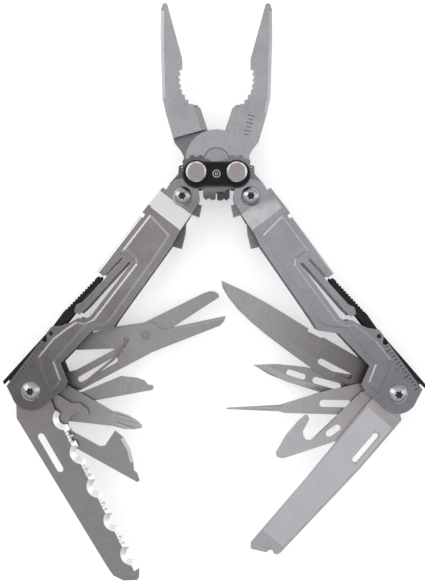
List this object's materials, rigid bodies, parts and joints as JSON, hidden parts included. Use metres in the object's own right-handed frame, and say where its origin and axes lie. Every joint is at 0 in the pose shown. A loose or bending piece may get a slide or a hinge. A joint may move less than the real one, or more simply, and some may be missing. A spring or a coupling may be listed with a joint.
{
  "type": "multi tool",
  "caption": "Folding pocket multi tool with geared pliers, two splayed channel handles and blades, drivers, scissors, openers, awl and file fanned out of their ends.",
  "frame": {"origin": "centre of the bounding box's base, on the surface that the tool lies on", "axes": "+X to the right, +Y from the tool ends towards the jaws, +Z out of the front face"},
  "size_m": [0.1699, 0.2331, 0.0192],
  "materials": {
    "black_oxide": "black oxide, satin",
    "black_lever": "black coated, satin",
    "polished_steel": "polished with turning marks",
    "screw_steel": "polished",
    "blasted_steel": "bead blasted, satin",
    "jaw_steel": "bead blasted, satin",
    "arm_steel": "bead blasted, satin",
    "file_steel": "cross-cut teeth",
    "dark_pin": "dark",
    "blade_steel": "brushed, satin"
  },
  "bodies": {
    "head": {"link_plate_front": "black_oxide", "link_plate_rear": "black_oxide", "link_studs": "polished_steel", "jaw_pivot": "jaw_steel"},
    "jaw_left": {"jaw_left": "jaw_steel"},
    "jaw_right": {"jaw_right": "jaw_steel"},
    "gear_arm_left": {"gear_arm_left": "arm_steel"},
    "gear_arm_right": {"gear_arm_right": "arm_steel"},
    "handle_left": {"left_front_shell": "blasted_steel", "left_rear_shell": "blasted_steel", "left_fold_screw": "screw_steel", "left_fold_sleeve": "screw_steel", "left_axle_screw": "screw_steel", "left_axle_sleeve": "screw_steel", "left_tool_spacers": "screw_steel", "left_lock_pin": "dark_pin"},
    "lock_left": {"left_lock_lever": "black_lever"},
    "serrated_blade": {"serrated_blade": "blade_steel"},
    "can_opener": {"can_opener": "blade_steel"},
    "crosshead_driver": {"crosshead_driver": "blade_steel"},
    "medium_driver": {"medium_driver": "blade_steel"},
    "scissors": {"scissor_frame": "blade_steel", "scissor_rivet": "polished_steel", "scissor_spring": "polished_steel"},
    "handle_right": {"right_front_shell": "blasted_steel", "right_rear_shell": "blasted_steel", "right_fold_screw": "screw_steel", "right_fold_sleeve": "screw_steel", "right_axle_screw": "screw_steel", "right_axle_sleeve": "screw_steel", "right_tool_spacers": "screw_steel", "right_lock_pin": "dark_pin"},
    "lock_right": {"right_lock_lever": "black_lever"},
    "file": {"file": "file_steel"},
    "hook_cutter": {"hook_cutter": "blade_steel"},
    "awl": {"awl": "blade_steel"},
    "straight_blade": {"straight_blade": "blade_steel"},
    "small_blade": {"small_blade": "blade_steel"},
    "scissor_lever": {"scissor_lever": "blade_steel"}
  },
  "joints": [
    {"name": "left_arm_swing", "type": "hinge", "parent": "head", "child": "gear_arm_left", "pos_m": [-0.0071, 0.0462, 0.0096], "axis": [0, 0, 1], "range_deg": [-12, 13.5]},
    {"name": "right_arm_swing", "type": "hinge", "parent": "head", "child": "gear_arm_right", "pos_m": [0.0091, 0.0462, 0.0096], "axis": [0, 0, -1], "range_deg": [-12, 13.5]},
    {"name": "left_jaw_swing", "type": "hinge", "parent": "head", "child": "jaw_left", "pos_m": [0.001, 0.0514, 0.0096], "axis": [0, 0, -1], "range_deg": [-6.6, 7.42]},
    {"name": "right_jaw_swing", "type": "hinge", "parent": "head", "child": "jaw_right", "pos_m": [0.001, 0.0514, 0.0096], "axis": [0, 0, 1], "range_deg": [-6.6, 7.42]},
    {"name": "left_handle_fold", "type": "hinge", "parent": "gear_arm_left", "child": "handle_left", "pos_m": [-0.0128, 0.0368, 0.0096], "axis": [0, 0, -1], "range_deg": [0, 70]},
    {"name": "left_lock_rock", "type": "hinge", "parent": "handle_left", "child": "lock_left", "pos_m": [-0.06519, -0.01839, 0.0096], "axis": [0, 0, -1], "range_deg": [0, 4], "stiffness_Nm_per_rad": 0.02},
    {"name": "serrated_blade_open", "type": "hinge", "parent": "handle_left", "child": "serrated_blade", "pos_m": [-0.07334, -0.04153, 0.0096], "axis": [0, 0, -1], "range_deg": [-110.5, 62.5]},
    {"name": "can_opener_open", "type": "hinge", "parent": "handle_left", "child": "can_opener", "pos_m": [-0.07334, -0.04153, 0.0096], "axis": [0, 0, -1], "range_deg": [-83.3, 88.7]},
    {"name": "crosshead_driver_open", "type": "hinge", "parent": "handle_left", "child": "crosshead_driver", "pos_m": [-0.07334, -0.04153, 0.0096], "axis": [0, 0, -1], "range_deg": [-68.5, 111.5]},
    {"name": "medium_driver_open", "type": "hinge", "parent": "handle_left", "child": "medium_driver", "pos_m": [-0.07334, -0.04153, 0.0096], "axis": [0, 0, -1], "range_deg": [-50.8, 129.2]},
    {"name": "scissors_open", "type": "hinge", "parent": "handle_left", "child": "scissors", "pos_m": [-0.07334, -0.04153, 0.0096], "axis": [0, 0, -1], "range_deg": [-28.2, 153.8]},
    {"name": "right_handle_fold", "type": "hinge", "parent": "gear_arm_right", "child": "handle_right", "pos_m": [0.0148, 0.0368, 0.0096], "axis": [0, 0, 1], "range_deg": [0, 70]},
    {"name": "right_lock_rock", "type": "hinge", "parent": "handle_right", "child": "lock_right", "pos_m": [0.06602, -0.01947, 0.0096], "axis": [0, 0, 1], "range_deg": [0, 4], "stiffness_Nm_per_rad": 0.02},
    {"name": "file_open", "type": "hinge", "parent": "handle_right", "child": "file", "pos_m": [0.07369, -0.04278, 0.0096], "axis": [0, 0, 1], "range_deg": [-101.3, 76.7]},
    {"name": "hook_cutter_open", "type": "hinge", "parent": "handle_right", "child": "hook_cutter", "pos_m": [0.07369, -0.04278, 0.0096], "axis": [0, 0, 1], "range_deg": [-75.5, 100.5]},
    {"name": "awl_open", "type": "hinge", "parent": "handle_right", "child": "awl", "pos_m": [0.07369, -0.04278, 0.0096], "axis": [0, 0, 1], "range_deg": [-58, 122]},
    {"name": "straight_blade_open", "type": "hinge", "parent": "handle_right", "child": "straight_blade", "pos_m": [0.07369, -0.04278, 0.0096], "axis": [0, 0, 1], "range_deg": [-22.6, 159.4]},
    {"name": "small_blade_open", "type": "hinge", "parent": "handle_right", "child": "small_blade", "pos_m": [0.07369, -0.04278, 0.0096], "axis": [0, 0, 1], "range_deg": [-42, 138]},
    {"name": "scissor_squeeze", "type": "hinge", "parent": "scissors", "child": "scissor_lever", "pos_m": [-0.02813, -0.01949, 0.0096], "axis": [0, 0, 1], "range_deg": [0, 14], "stiffness_Nm_per_rad": 0.02, "deforming": ["scissor_spring"]}
  ],
  "couplings": [
    {"joint": "right_arm_swing", "follows": "left_arm_swing", "ratio": 1},
    {"joint": "left_jaw_swing", "follows": "left_arm_swing", "ratio": 0.55},
    {"joint": "right_jaw_swing", "follows": "left_arm_swing", "ratio": 0.55}
  ]
}
